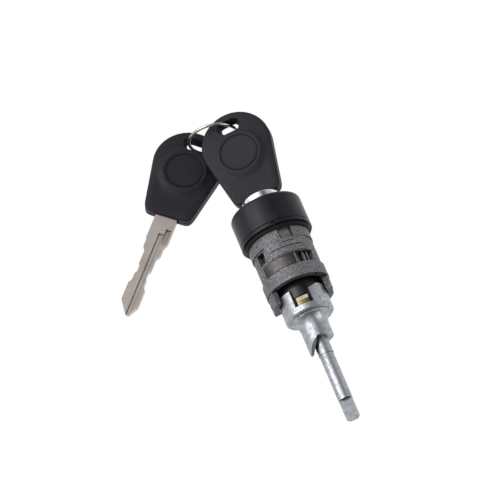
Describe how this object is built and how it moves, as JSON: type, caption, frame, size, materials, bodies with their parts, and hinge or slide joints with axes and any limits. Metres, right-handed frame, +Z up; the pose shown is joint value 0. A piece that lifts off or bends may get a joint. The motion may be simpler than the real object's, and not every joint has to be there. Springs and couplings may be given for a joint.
{
  "type": "ignition switch",
  "caption": "Steering-column ignition lock with black bezel, die-cast barrel, latch spring, drive shaft with flat tang, inserted key and a spare key on a wire ring.",
  "frame": {"origin": "on the lock axis at the rear face of the barrel, where its round band ends", "axes": "+Y along the lock axis towards the key, -Y along the drive shaft, +Z up from the face of the key as it lies"},
  "size_m": [0.082, 0.1481, 0.0324],
  "materials": {
    "zinc": "matte die-cast zinc",
    "bezel_plastic": "satin black moulding",
    "seal_rubber": "matte black",
    "spring_leaf": "browned spring steel",
    "rotor_zinc": "die-cast zinc",
    "nose_chrome": "polished",
    "spring_wire": "bright wire",
    "sleeve_plastic": "black",
    "driver_zinc": "bright die-cast zinc",
    "steel_pin": "ground",
    "brass": "plain",
    "cream_plastic": "cream",
    "nickel_silver": "milled nickel silver",
    "head_plastic": "fine grained black",
    "inlay_plastic": "satin black",
    "chip_plastic": "black",
    "ring_steel": "bright wire"
  },
  "bodies": {
    "lock_body": {"barrel": "zinc", "bezel_cap": "bezel_plastic", "seal_ring": "seal_rubber"},
    "latch": {"leaf_spring": "spring_leaf"},
    "rotor_set": {"rotor": "rotor_zinc", "nose_cap": "nose_chrome", "wafer_1": "brass", "wafer_2": "brass", "wafer_3": "brass", "wafer_4": "brass", "wafer_5": "brass", "wafer_6": "brass", "wafer_7": "brass", "wafer_8": "brass", "wafer_springs": "spring_wire", "drive_sleeve": "sleeve_plastic", "driver": "driver_zinc", "driver_pins": "steel_pin", "drive_bar": "brass", "damper_pad": "cream_plastic"},
    "key": {"key_blade": "nickel_silver", "key_head_front": "head_plastic", "key_head_back": "head_plastic", "key_inlay_front": "inlay_plastic", "key_inlay_back": "inlay_plastic", "key_transponder": "chip_plastic"},
    "ring": {"key_ring": "ring_steel"},
    "spare_key": {"spare_blade": "nickel_silver", "spare_head_front": "head_plastic", "spare_head_back": "head_plastic", "spare_inlay_front": "inlay_plastic", "spare_inlay_back": "inlay_plastic", "spare_transponder": "chip_plastic"}
  },
  "joints": [
    {"name": "rotor_turn", "type": "hinge", "parent": "lock_body", "child": "rotor_set", "pos_m": [0, 0, 0], "axis": [0, -1, 0], "range_deg": [0, 95]},
    {"name": "latch_press", "type": "hinge", "parent": "lock_body", "child": "latch", "pos_m": [-0.00873, 0.00805, 0.00546], "axis": [0, 1, 0], "range_deg": [0, 4], "stiffness_Nm_per_rad": 0.5},
    {"name": "key_pull", "type": "slide", "parent": "rotor_set", "child": "key", "axis": [0, 1, 0], "range_m": [0, 0.048]},
    {"name": "ring_swing", "type": "hinge", "parent": "key", "child": "ring", "pos_m": [0.0015, 0.0788, 0], "axis": [0, 0, 1], "range_deg": [-8, 10]},
    {"name": "spare_swing", "type": "hinge", "parent": "ring", "child": "spare_key", "pos_m": [-0.0158, 0.0809, -0.01139], "axis": [0, 0, 1], "range_deg": [-16, 10]}
  ]
}
